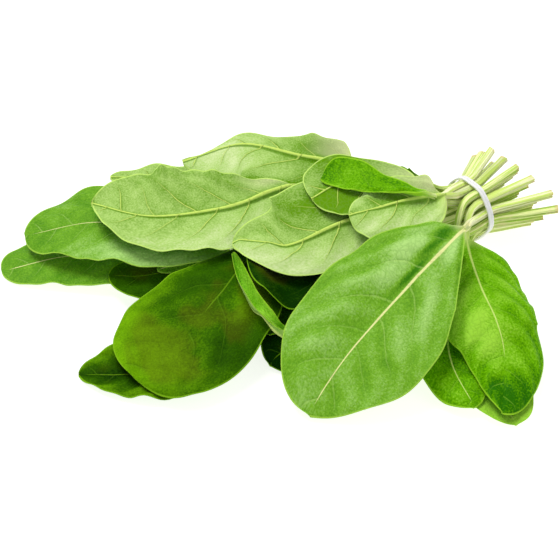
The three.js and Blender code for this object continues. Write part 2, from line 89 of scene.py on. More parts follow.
# slot: row and place in the band. rib: points of the midrib from the blade's base to its tip, at the least
# height that it may have. roll: turn of the blade about its midrib at base, middle and tip; at 180 its
# underside is up. left and right: width of that half of the blade, its angle to the blade's plane at the
# midrib, its further bend on the way to the margin, and how bluntly its outline closes at the base and at
# the tip. wave: height, number and phase of the margin's waves. held: length over which the stem keeps its
# place, where it turns sooner than the rest. A leaf of the heap has its heading from the band, its reach
# and its half width instead.
LEAVES = [
    dict(
        name="low_left", slot=(0, 0),
        rib=[(-142, -28, 8), (-178, -27, 7), (-212, -25, 6), (-245, -32, 2)],
        roll=(0, 0, 0), left=(22, 0, -4, 0.5, 0.5), right=(22, -3, -5, 0.5, 0.35), wave=(1, 3, 40),
    ),
    dict(
        name="low_front", slot=(0, 1),
        rib=[(-120, -90, 5), (-147, -106, 4), (-174, -109, 3), (-199, -108, 2)],
        roll=(0, 0, 0), left=(20, 5, 0, 0.5, 0.7), right=(24, 15, 10, 0.5, 0.6), wave=(1, 4, 0),
    ),
    dict(
        name="low_right", slot=(0, 2),
        rib=[(-6, -73, 5), (1, -105, 5), (7, -126, 4), (13, -142, 2)],
        roll=(0, 0, 0), left=(18, 5, 5, 0.5, 0.4), right=(18, 5, 5, 0.5, 0.5), wave=(1, 3, 90),
    ),
    dict(name="heap_01", slot=(1, 0), heading=-50, reach=150, half=20),
    dict(
        name="dark_tip", slot=(1, 1),
        rib=[(-128, -35, 12), (-151, -41, 10), (-169, -44, 8), (-188, -43, 7)],
        roll=(0, 0, 0), left=(19, 5, 0, 0.5, 0.5), right=(19, 5, 0, 0.5, 0.5), wave=(1, 3, 0),
    ),
    dict(name="heap_02", slot=(1, 2), heading=5, reach=147, half=22),
    dict(
        name="under_right", slot=(1, 3),
        rib=[(-12, -53, 8), (-17, -84, 9), (-16, -110, 7), (-7, -135, 4)],
        roll=(0, 0, 0), left=(18, 5, 0, 0.5, 0.5), right=(18, 5, 0, 0.5, 0.5), wave=(1, 3, 0),
    ),
    dict(name="heap_03", slot=(2, 0), heading=-64, reach=95, half=17),
    dict(name="heap_04", slot=(2, 1), heading=-40, reach=140, half=20),
    dict(name="heap_05", slot=(2, 2), heading=-15, reach=130, half=20),
    dict(
        name="beside_hanging", slot=(2, 3),
        rib=[(-97, -59, 13), (-104, -76, 10), (-105, -88, 8)],
        roll=(0, 0, 0), left=(12, 0, 0, 0.5, 0.6), right=(12, 0, 0, 0.5, 0.6), wave=(0.6, 3, 0),
    ),
    dict(name="heap_07", slot=(2, 4), heading=44, reach=75, half=10),
    dict(name="heap_06", slot=(3, 5), heading=14, reach=130, half=20),
    dict(
        name="back_tip", slot=(3, 0),
        rib=[(-127, 18, 20), (-159, 22, 20), (-191, 24, 20)],
        roll=(180, 180, 180), left=(14, 0, 0, 0.5, 0.7), right=(14, 0, 0, 0.5, 0.7), wave=(1, 3, 0),
    ),
    dict(
        name="small_tip", slot=(3, 2),
        rib=[(-133, -35, 16), (-149, -39, 14), (-163, -43, 13)],
        roll=(0, 0, 0), left=(9, 0, 0, 0.5, 0.7), right=(9, 0, 0, 0.5, 0.7), wave=(0.6, 3, 0),
    ),
    dict(
        name="left", slot=(3, 1),
        rib=[(-123, -31, 20), (-159, -24, 22), (-197, -14, 20), (-234, -13, 10)],
        roll=(0, 0, 0), left=(28, 0, -5, 0.5, 0.5), right=(30, 3, -8, 0.5, 0.4), wave=(1.5, 3, 0),
    ),
    dict(
        name="hanging", slot=(3, 3),
        rib=[(-108, -40, 23), (-131, -74, 22), (-149, -97, 14), (-171, -117, 7)],
        roll=(0, 0, 0), left=(35, 2, -15, 0.5, 0.35), right=(36, 5, -15, 0.8, 0.38), wave=(1.2, 3, 0),
    ),
    dict(
        name="creased", slot=(3, 4),
        rib=[(-96, -95, 10), (-109, -92, 23), (-118, -72, 24), (-124, -46, 27)],
        roll=(0, 0, 0), left=(10, 68, 10, 0.6, 0.6), right=(9, 60, 10, 0.6, 0.6), wave=(0.6, 3, 0),
    ),
    dict(
        name="back", slot=(4, 0),
        rib=[(-62, 21, 30), (-89, 27, 32), (-121, 37, 32), (-152, 27, 28)],
        roll=(178, 175, 178), left=(27, 2, 4, 0.35, 1.7), right=(31, 5, 5, 0.5, 0.6), wave=(1.5, 3, 0),
    ),
    dict(
        name="olive", slot=(4, 2),
        rib=[(-72, -45, 20), (-85, -57, 15), (-91, -72, 12)],
        roll=(0, 0, 0), left=(9, 20, 0, 0.5, 0.7), right=(9, 20, 0, 0.5, 0.7), wave=(0.6, 3, 0),
    ),
    dict(
        name="dark", slot=(4, 3),
        rib=[(-59, -39, 24), (-85, -52, 23), (-117, -55, 26)],
        roll=(0, 0, 0), left=(30, 0, 0, 0.5, 0.35), right=(24, 0, 0, 0.5, 0.4), wave=(0.8, 3, 0),
    ),
    dict(
        name="upper_left", slot=(4, 1),
        rib=[(-90, 2, 30), (-131, -17, 32), (-167, -24, 33), (-198, -10, 30)],
        roll=(188, 188, 188), left=(31, -10, 0, 0.9, 0.5), right=(30, -6, 0, 0.5, 0.85), wave=(1.6, 3, 0),
    ),
    dict(
        name="right", slot=(5, 3),
        rib=[(-4, -30, 22), (0, -68, 24), (6, -94, 24), (9, -107, 17), (6, -141, 9)],
        roll=(0, 0, 0), left=(26, 5, -50, 0.28, 0.45), right=(27, 5, -35, 0.7, 0.9), wave=(1, 3, 0),
    ),
    dict(
        name="back_right", slot=(5, 0),
        rib=[(-23, 12, 24), (-36, 15, 27), (-46, 29, 23)],
        roll=(0, 0, 0), left=(9, 0, 0, 0.5, 0.7), right=(9, 0, 0, 0.5, 0.7), wave=(0.6, 3, 0),
    ),
    dict(
        name="middle", slot=(5, 1),
        rib=[(-43, -22, 36), (-71, -32, 34), (-97, -47, 33), (-124, -47, 34)],
        roll=(184, 184, 184), left=(33, -9, 0, 0.5, 0.6), right=(24, 9, 0, 0.5, 0.6), wave=(1, 3, 0),
    ),
    dict(
        name="short", slot=(5, 2),
        rib=[(-26, -17, 40), (-46, -8, 40), (-67, -9, 42), (-84, -18, 38)],
        roll=(180, 180, 180), left=(22, -3, 0, 0.65, 0.4), right=(26, 3, 0, 0.5, 0.4), wave=(0.8, 3, 0),
    ),
    dict(name="heap_08", slot=(6, 2), heading=30, reach=80, half=10),
    dict(
        name="puckered", slot=(6, 1),
        rib=[(-15, -25, 48), (-36, -27, 46), (-51, -32, 45), (-65, -33, 40)],
        roll=(180, 180, 180), left=(22, 2, 0, 0.4, 0.5), right=(25, 8, 8, 0.35, 0.5), wave=(0.6, 4, 0),
    ),
    dict(
        name="folded", slot=(6, 0),
        rib=[(-22, -28, 38), (-45, -22, 43), (-64, -14, 44), (-79, -8, 44)],
        roll=(10, 20, 20), left=(3, 0, 0, 0.9, 0.4), right=(16, 8, 6, 1.3, 0.3), wave=(0.6, 3, 0),
    ),
    dict(
        name="front", slot=(4, 4), held=8,
        rib=[(-7, -46, 33), (-34, -76, 32), (-63, -107, 18), (-86, -138, 3)],
        roll=(0, 0, 0), left=(38, 6, -14, 1.3, 0.88), right=(36, 2, -8, 0.55, 0.4), wave=(1.2, 4, 0),
    ),
]

# What the table of looks says of each leaf: its finish; bright, from 0 to 1, set low for the leaves that lie
# in the shade of others, which paints their shade; bulge, of its blade between the side veins, in mm; and
# fine, its points along the blade and across a half of it. Where a leaf has them: frill, the height and
# length in mm of the small waves of its margin; fine_rib, how many times finer than its solid the midrib
# looks; rib_to, where along the blade it fades out above; eased, where dips in how the leaf lies are filled;
# and patches, each brighter or darker round its (u, v), with its reach along and across and what it adds.
# The patches are painted light and
# shade: painted shadows cast by leaves above, painted shade in gutters and on halves turned from the light,
# and painted highlights and whitish sheen where the light falls.
LOOKS = {
    "low_left": dict(finish="grown", bright=0.36, bulge=0.5, fine=(110, 22), frill=(0.5, 17)),
    "low_front": dict(
        finish="deep", bright=0.42, bulge=1.4, fine=(90, 20), frill=(0.8, 14),
        patches=[(0.6, 0.0, 0.5, 0.35, -0.25), (0.5, -0.9, 0.5, 0.35, 0.35), (0.9, 0.9, 0.3, 0.4, 0.3)],
    ),
    "low_right": dict(finish="fresh", bright=1.0, bulge=0.6, fine=(90, 20)),
    "dark_tip": dict(finish="deep", bright=0.4, bulge=0.5, fine=(90, 20)),
    "under_right": dict(
        finish="fresh", bright=0.28, bulge=0.7, fine=(90, 20),
        patches=[(0.75, -0.95, 0.3, 0.35, 0.45), (0.9, 0.3, 0.15, 0.6, 0.2)],
    ),
    "beside_hanging": dict(finish="deep", bright=0.3, bulge=0.4, fine=(50, 12)),
    "back_tip": dict(finish="pale", bright=0.4, bulge=0.4, fine=(60, 14)),
    "small_tip": dict(finish="grown", bright=0.5, bulge=0.3, fine=(50, 12)),
    "left": dict(
        finish="grown", bright=0.4, bulge=0.7, fine=(130, 28), frill=(0.8, 22), fine_rib=1.6,
        patches=[(0.38, -0.8, 0.3, 0.4, 0.6), (0.55, 0.1, 0.2, 0.5, -0.12)],
    ),
    "hanging": dict(
        finish="deep", bright=0.36, bulge=0.7, fine=(130, 28), fine_rib=1.8, rib_to=0.45,
        patches=[
            (1.1, 0.2, 0.5, 1.4, 0.52), (0.5, 1.0, 0.5, 0.25, 0.3), (0.36, -0.5, 0.2, 0.35, 0.3),
            (0.56, -0.62, 0.13, 0.3, -0.25),
        ],
    ),
    "creased": dict(finish="fresh", bright=0.75, bulge=0.3, fine=(110, 20)),
    "back": dict(
        finish="pale", bright=0.5, bulge=0.7, fine=(130, 28), frill=(0.4, 15),
        patches=[
            (0.75, 0.0, 0.25, 1.2, 0.25), (0.3, -0.5, 0.25, 0.5, -0.3), (0.33, 0.9, 0.2, 0.2, -1.0),
            (0.1, 0.0, 0.16, 1.0, -0.4),
        ],
    ),
    "olive": dict(finish="deep", bright=0.6, bulge=0.2, fine=(50, 12)),
    "dark": dict(finish="deep", bright=0.15, bulge=0.5, fine=(90, 20)),
    "upper_left": dict(
        finish="pale", bright=0.38, bulge=0.8, fine=(150, 30), frill=(0.8, 13),
        patches=[(0.4, 1.0, 0.4, 0.7, 0.32), (0.6, -1.0, 0.4, 0.4, -0.12)],
    ),
    "right": dict(
        finish="fresh", bright=0.56, bulge=1.6, fine=(150, 30), frill=(0.7, 16), fine_rib=1.4, rib_to=0.66,
        patches=[
            (0.6, 0.3, 0.15, 0.4, 0.4), (0.92, 0.0, 0.13, 1.2, -0.5), (0.5, -0.4, 0.12, 0.2, -0.15),
            (0.36, 0.5, 0.14, 0.35, 0.15), (0.8, -0.9, 0.3, 0.3, -0.2),
        ],
    ),
    "back_right": dict(finish="deep", bright=0.5, bulge=0.3, fine=(50, 12)),
    "middle": dict(
        finish="pale", bright=0.48, bulge=0.8, fine=(140, 28), frill=(0.4, 20),
        patches=[(0.4, -0.55, 0.3, 0.45, -0.45), (0.6, 0.8, 0.5, 0.5, 0.25)],
    ),
    "short": dict(
        finish="pale", bright=0.5, bulge=0.6, fine=(120, 26), frill=(0.4, 15),
        patches=[(0.9, 0.5, 0.3, 0.6, -1.0), (0.6, -1.0, 0.3, 0.5, -0.4)],
    ),
    "puckered": dict(
        finish="pale", bright=0.5, bulge=1.2, fine=(120, 26), frill=(0.6, 10),
        patches=[(0.5, -0.25, 0.45, 0.35, -0.45), (0.3, 0.6, 0.4, 0.4, 0.2)],
    ),
    "folded": dict(
        finish="fresh", bright=0.46, bulge=0.3, fine=(120, 20), fine_rib=5, rib_to=0.1,
        patches=[(1.0, 0.5, 0.2, 1.0, -0.2)],
    ),
    "front": dict(
        finish="grown", bright=0.46, bulge=1.4, fine=(160, 32), eased=True,
        patches=[
            (0.10, 0.36, 0.05, 0.16, -0.5), (0.19, 0.2, 0.07, 0.08, -0.6), (0.31, 0.09, 0.1, 0.05, -0.6),
            (0.20, 0.5, 0.1, 0.22, 0.5), (0.31, 0.35, 0.09, 0.2, 0.35),
            (0.42, 0.3, 0.08, 0.15, 0.2), (0.12, -0.25, 0.12, 0.3, 0.5), (0.4, -0.5, 0.22, 0.25, 0.25),
            (0.85, -0.1, 0.2, 1.0, 0.12), (0.62, 0.68, 0.25, 0.4, 0.12),
        ],
    ),
}
# The leaves of the heap lie in the shade inside the bunch: their dark finish and low brightness are painted
# shade.
HEAP_LOOK = dict(finish="deep", bright=0.1, bulge=0.4, fine=(50, 12))
PLAIN_FRILL, PLAIN_RIB_TO = (0.3, 20), 0.9

# ---- Small formulas ---------------------------------------------------------------------------------

AXIS = np.array([np.cos(BUNDLE_HEADING), np.sin(BUNDLE_HEADING), 0])
UP = np.array([0.0, 0.0, 1.0])
ACROSS = np.cross(AXIS, UP)
MIDDLE_ROW = len(SLOT_ROWS) // 2
BUNDLE_RISE = MIDDLE_ROW * ROW_PITCH  # from the bundle's middle up to its outermost stems
BUNDLE_SIDE = 2.5 * STEM_PITCH * np.cos(np.radians(30))  # and square to a slanted side
CENTRE = np.array([0, 0, STRAND_THICKNESS + BAND_FIT + STEM_RADIUS + BUNDLE_RISE])


def mix(a, b, share):
    """Value that lies at a share of the way from a to b."""
    return a + (b - a) * share


def ramp(a, b, x):
    """Straight step from 0 at a to 1 at b."""
    return np.clip((x - a) / (b - a), 0, 1)


def smooth(a, b, x):
    """Eased step from 0 at a to 1 at b: 3t^2 - 2t^3."""
    t = ramp(a, b, x)
    return t * t * (3 - 2 * t)


def draw(seed):
    """Seeded number from -1 to 1: twice the fraction of a large sine, less 1."""
    return 2 * ((np.sin(seed * 12.9898) * 43758.5453) % 1) - 1


def unit(vectors):
    """Vectors divided by their lengths."""
    return vectors / np.linalg.norm(vectors, axis=-1, keepdims=True)


def through(knots, values, at):
    """Smooth curve through values at knots, along the last axis, that never overshoots: cubic pieces whose
    slope at a knot is the harmonic mean of the slopes beside it, and level where these change sign."""
    slope = np.diff(values) / np.diff(knots)
    before, after = slope[..., :-1], slope[..., 1:]
    both = before * after > 0
    inner = np.where(both, 2 * before * after / np.where(both, before + after, 1), 0)
    slopes = np.concatenate([slope[..., :1], inner, slope[..., -1:]], -1)
    i = np.clip(np.searchsorted(knots, at, "right") - 1, 0, len(knots) - 2)
    step = knots[i + 1] - knots[i]
    t = (at - knots[i]) / step
    low, high = np.take_along_axis(values, i, -1), np.take_along_axis(values, i + 1, -1)
    out, into = np.take_along_axis(slopes, i, -1) * step, np.take_along_axis(slopes, i + 1, -1) * step
    rest = high - low
    return low + t * (out + t * (3 * rest - 2 * out - into + t * (out + into - 2 * rest)))


# ---- The bundle and the line of a leaf --------------------------------------------------------------


def slot_offset(slot):
    """Offset of a stem across the bundle and up: its place in a hexagon that lies flat, and in the bundle's
    upper part moved out towards a circle."""
    row, place = slot
    across = (place - (SLOT_ROWS[row] - 1) / 2) * STEM_PITCH
    up = (row - MIDDLE_ROW) * ROW_PITCH
    slant = abs(across) * np.cos(np.radians(30)) + abs(up) * np.sin(np.radians(30))
    share = max(abs(up) / BUNDLE_RISE, slant / BUNDLE_SIDE)
    bulge = max(0, share * BUNDLE_RISE / max(np.hypot(across, up), 1) - 1)
    grow = 1 + ROUNDING * ramp(-10, 2, up) * bulge
    return across * grow, up * grow


def stem_point(slot, distance):
    """Point of a stem at a distance beyond the band: straight along the bundle, spreading as it goes."""
    across, up = slot_offset(slot)
    fan = (FAN_BEYOND if distance > 0 else FAN_WITHIN) * max(0, abs(distance) - HELD_BY)
    rise, turn = (FAN_UPWARDS * fan * max(0, up + 4), FAN_TURN * fan * up) if distance > 0 else (0, 0)
    return CENTRE + AXIS * distance + ACROSS * (across * (1 + fan) - turn) + UP * (up + rise)


def heap_leaf(leaf, seed):
    """A leaf of the heap: its line runs from the stem down to the surface, a little bent either way."""
    top = stem_point(leaf["slot"], -HELD_TO)[2]

    def way(share, swing):
        """Point at a share of the leaf's reach, in its direction turned by swing."""
        turn = BUNDLE_HEADING + np.radians(leaf["heading"] + swing)
        along = -share * leaf["reach"] * np.array([np.cos(turn), np.sin(turn)])
        return (*along, mix(top, LOWEST, share))

    swing, bend = 5 * draw(seed), 8 * draw(seed + 0.5)
    half = (leaf["half"], bend, -bend, 0.5, 0.5)
    return dict(
        leaf,
        rib=[way(0.45, -swing), way(0.72, 0), way(1, swing)],
        roll=(180, 180, 180) if draw(seed + 0.3) > 0.2 else (0, 0, 0),
        left=half,
        right=half,
        wave=(1, 3, 180 * draw(seed + 0.7)),
    )


def curve_at(points, t):
    """Centripetal Catmull-Rom curve through points: cubic pieces, each weighed by the root of its length."""
    ghosts = np.vstack([2 * points[0] - points[1], points, 2 * points[-1] - points[-2]])
    at = np.clip(t, 0, 1) * (len(points) - 1)
    i = np.minimum(at.astype(int), len(points) - 2)
    a, b, c, d = (ghosts[i + k] for k in range(4))
    ab, bc, cd = (np.sqrt(np.linalg.norm(q - p, axis=1))[:, None] for p, q in ((a, b), (b, c), (c, d)))
    out = bc * ((b - a) / ab - (c - a) / (ab + bc) + (c - b) / bc)
    into = bc * ((c - b) / bc - (d - b) / (bc + cd) + (d - c) / cd)
    w = (at - i)[:, None]
    return b + w * (out + w * (3 * (c - b) - 2 * out - into + w * (out + into - 2 * (c - b))))


def leaf_line(leaf, seed):
    """Line of stem and midrib, with the lengths from the cut end at which band, blade and tip are."""
    across = slot_offset(leaf["slot"])[0]
    cut = STEM_BEYOND + CUT_SLANT * across + CUT_SPREAD * draw(seed)
    distances = (cut, cut / 2, HELD_BY, -HELD_BY, -leaf.get("held", HELD_TO))
    stem = [stem_point(leaf["slot"], distance) for distance in distances]
    points = np.vstack([stem, leaf["rib"]])
    t = np.linspace(0, 1, LINE_STEPS * (len(points) - 1) + 1)
    steps = np.linalg.norm(np.diff(curve_at(points, t), axis=0), axis=1)
    lengths = np.append(0, np.cumsum(steps))
    band, base = lengths[2 * LINE_STEPS] + HELD_BY, lengths[len(stem) * LINE_STEPS]
    return dict(points=points, t=t, lengths=lengths, band=band, base=base, end=lengths[-1])


def line_point(line, length):
    """Points of the line at those lengths, as in the solid."""
    return curve_at(line["points"], np.interp(length, line["lengths"], line["t"]))


def eased_point(line, length):
    """Points of the line, but from the band to the blade on one bend: the cubic that has the line's points
    and directions at both ends."""
    span = np.array([line["band"] + HELD_BY, line["base"] + BASE_LENGTH])
    start, stop = line_point(line, span)
    rest = stop - start
    ways = unit(line_point(line, span + 0.5) - line_point(line, span - 0.5))
    out, into = ways * np.linalg.norm(rest)
    w = ramp(*span, length)[:, None]
    bend = start + w * (out + w * (3 * rest - 2 * out - into + w * (out + into - 2 * rest)))
    return np.where((w > 0) & (w < 1), bend, line_point(line, length))


def places_on(leaf, line, length, point_at=line_point):
    """Points of the line at those lengths, with the directions to the leaf's right and to its top side."""
    forward = unit(point_at(line, length + 0.05) - point_at(line, length - 0.05))
    side = unit(np.cross(forward, UP))
    up = np.cross(side, forward)
    u = ramp(line["base"], line["end"], length)
    roll = np.radians(np.interp(u, np.linspace(0, 1, 3), leaf["roll"]))[:, None]
    right = side * np.cos(roll) + up * np.sin(roll)
    top = up * np.cos(roll) - side * np.sin(roll)
    return point_at(line, length), right, top


# ---- The blade --------------------------------------------------------------------------------------


def half_width(u, half):
    """Half width of a side of the blade: its widest times (u/at)^blunt ((1-u)/(1-at))^point, at being the
    widest place."""
    widest, _, _, blunt, point = half
    at = blunt / (blunt + point)
    inner = np.clip(u, 0, 1)
    return np.maximum(widest * (inner / at) ** blunt * ((1 - inner) / (1 - at)) ** point, TIP_HALF_WIDTH)


def blade_sheet(leaf, u, v):
    """Middle of the blade's sheet at u along it and v across it: each half is an arc that starts at its
    fold angle and turns by its bend, and sine waves grow towards the margin. Gives the offsets across and
    up from the midrib and the sheet's angle."""
    sign = np.where(v < 0, -1.0, 1.0)
    q = np.abs(v)
    halves = [leaf["left"], leaf["right"]]
    fold, turn = (np.where(v < 0, *np.radians([half[k] for half in halves])) for k in (1, 2))
    width = np.where(v < 0, *[half_width(u, half) for half in halves])
    angle = fold + turn * q
    flat = np.abs(turn) < 1e-4
    safe = np.where(flat, 1, turn)
    x = np.where(flat, q * np.cos(fold), (np.sin(angle) - np.sin(fold)) / safe)
    y = np.where(flat, q * np.sin(fold), (np.cos(fold) - np.cos(angle)) / safe)
    height, waves, phase = leaf["wave"]
    wave = height * q * q * np.sin(2 * np.pi * waves * u + np.radians(phase + 65 * sign))
    return sign * width * x, width * y + wave * smooth(0, 0.15, u), np.where(q > 0, sign * angle, 0)


def section_sizes(line, length):
    """Along the leaf: u, the stem's and the midrib's radius, and how far the stem has become a blade."""
    u = ramp(line["base"], line["end"], length)
    stem = mix(STEM_RADIUS, NECK_RADIUS, ramp(line["band"], line["base"], length))
    rib = np.maximum(NECK_RADIUS * (1 - u) ** 0.8, 0.5)
    return u, stem, rib, smooth(line["base"] + BLADE_FROM, line["base"] + BLADE_TO, length)


# ---- How far the solids lie above the formula, where a leaf rests on others -------------------------


def solid_lengths(line, steps):
    """Lengths at which the leaf's solid has its sections."""
    start = line["base"] + BLADE_FROM
    loose = min(line["band"] + FREE_AT, start)
    free = int(np.ceil((start - loose) / STEM_STEP))
    held = [0, line["band"] - HELD_BY, line["band"] + HELD_BY, line["band"] + (HELD_BY + FREE_AT) / 2]
    t = np.linspace(0, 1, steps + 1)
    blade = mix(start, line["end"], t - 0.5 * np.sin(2 * np.pi * t) / (2 * np.pi))
    return np.concatenate([held, mix(loose, start, np.arange(free) / free), blade])


def solid_rises(leaf, line, node, steps):
    """Rise of the leaf's solid above its formula, for each of its sections and five places across. The
    formula's points are found again among the solid's by where they are as seen from above."""
    length = solid_lengths(line, steps)
    u, stem, rib, blade = (size[:, None] for size in section_sizes(line, length))
    v = np.array([-1, -0.5, 0, 0.5, 1, 1, 0.5, 0, -0.5, -1])
    angle = np.radians([165, 127.5, 90, 52.5, 15, -15, -45, -90, -135, -165])
    column = np.array([0, 1, 2, 3, 4, 4, 3, 2, 1, 0])
    half = np.where(np.arange(10) < 5, 0.5, -0.5) * SOLID_THICKNESS
    x, y, tilt = blade_sheet(leaf, u, v[None, :])
    lift = rib - SOLID_THICKNESS / 2
    x = mix(stem * np.cos(angle), x - half * np.sin(tilt), blade)
    under = np.where((v == 0) & (half < 0), -rib, lift + y + half * np.cos(tilt))
    y = mix(stem * np.sin(angle), under, blade)
    point, right, top = (part[:, None, :] for part in places_on(leaf, line, length))
    formula = (point + right * x[..., None] + top * y[..., None] - BUNCH_MIDDLE).reshape(-1, 3)
    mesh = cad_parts[node].data
    solid = np.zeros(3 * len(mesh.vertices), np.float32)
    mesh.vertices.foreach_get("co", solid)
    solid = np.unique(np.round(solid.reshape(-1, 3) / MM, 3), axis=0)
    apart = np.linalg.norm(formula[:, None, :2] - solid[None, :, :2], axis=2)
    same = (apart < np.maximum(0.01, apart.min(1) + 0.005)[:, None]).astype(float)
    found, total = same.sum(1), same @ solid[:, 2] - same.sum(1) * formula[:, 2]
    rows = np.arange(len(length)).repeat(10) * 5 + np.tile(column, len(length))
    rises = np.bincount(rows, total) / np.bincount(rows, found)
    return length, rises.reshape(-1, 5)


def ease(rises):
    """The rises of a leaf that nothing lies on, without dips: the highest of each section and its
    neighbours, then their mean with weights 1, 2 and 1. The stem and the tip stay."""
    for weigh in (np.maximum.reduce, lambda three: (three[0] + 2 * three[1] + three[2]) / 4):
        eased = weigh([rises[:-2], rises[1:-1], rises[2:]])
        rises = np.vstack([rises[:8], eased[7:-1], rises[-2:]])
    return rises


# ---- A leaf's surface -------------------------------------------------------------------------------


def half_columns(width, rib, count):
    """Distances of a half's points from the middle of the midrib: even over the midrib, then closer
    together towards both ends of the rest."""
    edge = np.minimum(RIB_REACH * rib, 0.5 * width)[:, None]
    on_rib = edge * np.linspace(0, 1, RIB_COLUMNS + 1)
    t = np.linspace(0, 1, count - RIB_COLUMNS + 1)[1:]
    return np.hstack([on_rib, mix(edge, width[:, None], t - 0.55 * np.sin(2 * np.pi * t) / (2 * np.pi))])


def petiole(angle, seed):
    """Outline of a stem as a share of its radius: a channel along its top, low ridges all round."""
    channel = 0.2 * np.exp(-(((angle - np.pi / 2) / 0.5) ** 2))
    ridges = 0.035 * np.cos(7 * angle + 3 * draw(seed)) + 0.03 * np.cos(4 * angle + 3 * draw(seed + 0.2))
    return 0.95 - channel + ridges


def leaf_surface(leaf, look, line, seed, solid):
    """Rings of points round the leaf, from its cut end to its tip: round on the stem, and on the blade a
    thin sheet with a swollen midrib beneath. The side veins are where the phase is whole: the length less
    a slant and a curve away from the midrib, over their pitch. The blade bulges by a cosine of the phase,
    and its margin waves by a sine of the length. Gives the points and what the finish reads from each."""
    along_count, half_count = look["fine"]
    start, end = line["base"] + BLADE_FROM, line["end"]
    t = np.linspace(0, 1, along_count)
    blade_lengths = mix(start, end, t - 0.75 * np.sin(2 * np.pi * t) / (2 * np.pi))
    stem_lengths = np.append(np.array([0, 0, 0, 0, 0.5, 2]), np.arange(5, start - 2, 4.5))
    length = np.concatenate([stem_lengths, blade_lengths])
    face = np.ones(len(length))
    face[:4] = [0.4, 0.75, 0.93, 0.99]  # of the stem's radius, over the cut end
    u, stem, rib, blade = (size[:, None] for size in section_sizes(line, length))
    wide = [half_width(u[:, 0], leaf[side]) for side in ("left", "right")]
    left, right_part = (half_columns(w, rib[:, 0], half_count) for w in wide)
    across = np.hstack([-left[:, ::-1], right_part[:, 1:]])
    across = np.hstack([across, across[:, ::-1]])
    count = 2 * half_count + 1
    side = np.append(np.ones(count), -np.ones(count))[None, :]
    width = np.where(across < 0, wide[0][:, None], wide[1][:, None])
    v = np.clip(across / width, -1, 1)
    q = np.abs(v)
    order = np.linspace(1, -1, count)
    angle = np.radians(np.append(90 + 75 * order, -90 - 75 * order))[None, :]

    x, y, tilt = blade_sheet(leaf, u, v)
    from_base = length[:, None] - line["base"]
    size = max(leaf["left"][0], leaf["right"][0]) / WIDE_HALF
    pitch = VEIN_PITCH * mix(0.45, 1, size)
    reach = np.abs(across)
    phase = (from_base - VEIN_SLANT * reach - VEIN_CURVE * reach**2) / pitch - 0.8 * q**6
    phase = phase + 0.07 * np.sin(from_base / 11 + seed)
    phase = phase + 0.05 * np.sin(reach / 4 + 2 * seed + from_base / 23)
    sided = phase + 0.5 * (across > 0)
    open_blade = smooth(0.02, 0.15, u) * smooth(1, 0.85, u)
    pillow = -look["bulge"] * np.cos(2 * np.pi * sided) * np.sin(np.pi * q) ** 0.8 * open_blade
    height, period = look.get("frill", PLAIN_FRILL)
    swing = np.sin(2 * np.pi * from_base / period + 1.3 * np.sign(across) + np.sin(from_base / 19 + seed))
    frill = height * q**5 * swing * open_blade
    y = y + PILLOW_HEIGHT * pillow + frill
    thick = side * BLADE_THICKNESS / 2 * (1 - 0.5 * q**8)
    lift = rib - SOLID_THICKNESS / 2
    swell = np.clip(1 - (reach / (RIB_REACH * rib)) ** 2, 0, 1)
    depth = np.where(side < 0, (lift + rib) * swell**0.8, -0.12 * rib * swell)
    x = x - thick * np.sin(tilt)
    y = lift + y + thick * np.cos(tilt) - depth

    outline = stem * face[:, None] * petiole(angle, seed)
    x = mix(outline * np.cos(angle), x, blade)
    y = mix(outline * np.sin(angle), y, blade)

    point, right, top = (part[:, None, :] for part in places_on(leaf, line, length, eased_point))
    surface = point + right * x[..., None] + top * y[..., None] - BUNCH_MIDDLE
    rise_lengths, rises = solid
    if look.get("eased"):
        rises = ease(rises)
    along_rises = through(rise_lengths, rises.T, np.broadcast_to(length, (5, len(length)))).T
    free = line["band"] + HELD_BY, line["base"] + BASE_LENGTH
    at_base = through(rise_lengths, rises.T, np.full((5, 1), free[1])).T
    along_rises = np.where(length[:, None] < free[1], at_base * smooth(*free, length)[:, None], along_rises)
    surface[..., 2] += through(np.linspace(-1, 1, 5), along_rises, v)
    surface[..., 2] = np.maximum(surface[..., 2], LOWEST)  # lies on the table
    slant = ACROSS * draw(seed + 0.1) * 0.35 + UP * draw(seed + 0.6) * 0.3
    offset = (surface - (point - BUNCH_MIDDLE)) @ slant
    surface = surface + AXIS * (offset * (1 - smooth(0, 6, length))[:, None])[..., None]

    slope = np.gradient(np.maximum(*wide), length + np.arange(len(length)) * 1e-6)[:, None]
    margin = (1 - q) * width / np.sqrt(1 + (q * slope) ** 2)
    # Painted light on the bulges between the side veins and painted shade along the veins, then the look's
    # patches of painted light and shade.
    bright = look["bright"] + PILLOW_LIGHT * pillow
    for patch_u, patch_v, long, broad, more in look.get("patches", []):
        bright += more * np.exp(-(((u - patch_u) / long) ** 2) - ((v - patch_v) / broad) ** 2)
    whole = np.ones(q.shape)
    rib_to = look.get("rib_to", PLAIN_RIB_TO)
    rib_away = reach / rib * look.get("fine_rib", 1) + (side > 0) * smooth(rib_to, rib_to + 0.12, u)
    own_place = 40 * seed  # keeps one leaf's pattern from being another's
    finish = {
        "leaf_place": (from_base * whole, across, margin),
        "leaf_vein": (phase, q, rib_away),
        "leaf_kind": (blade * whole, (side + 1) / 2 * whole, bright),
        "leaf_round": (own_place + stem * np.cos(angle), stem * np.sin(angle), length[:, None] * whole),
    }
    return surface, {name: np.stack(parts, -1) for name, parts in finish.items()}


# ---- Meshes -----------------------------------------------------------------------------------------


def ring_faces(rings, around, closed):
    """Four-sided faces between neighbouring rings, and round the end to the first ring if closed."""
    i = np.arange(rings if closed else rings - 1)[:, None]
    j = np.arange(around)[None, :]
    k, following = (j + 1) % around, (i + 1) % rings
    corners = [i * around + j, i * around + k, following * around + k, following * around + j]
    return np.stack(corners, -1).reshape(-1, 4)


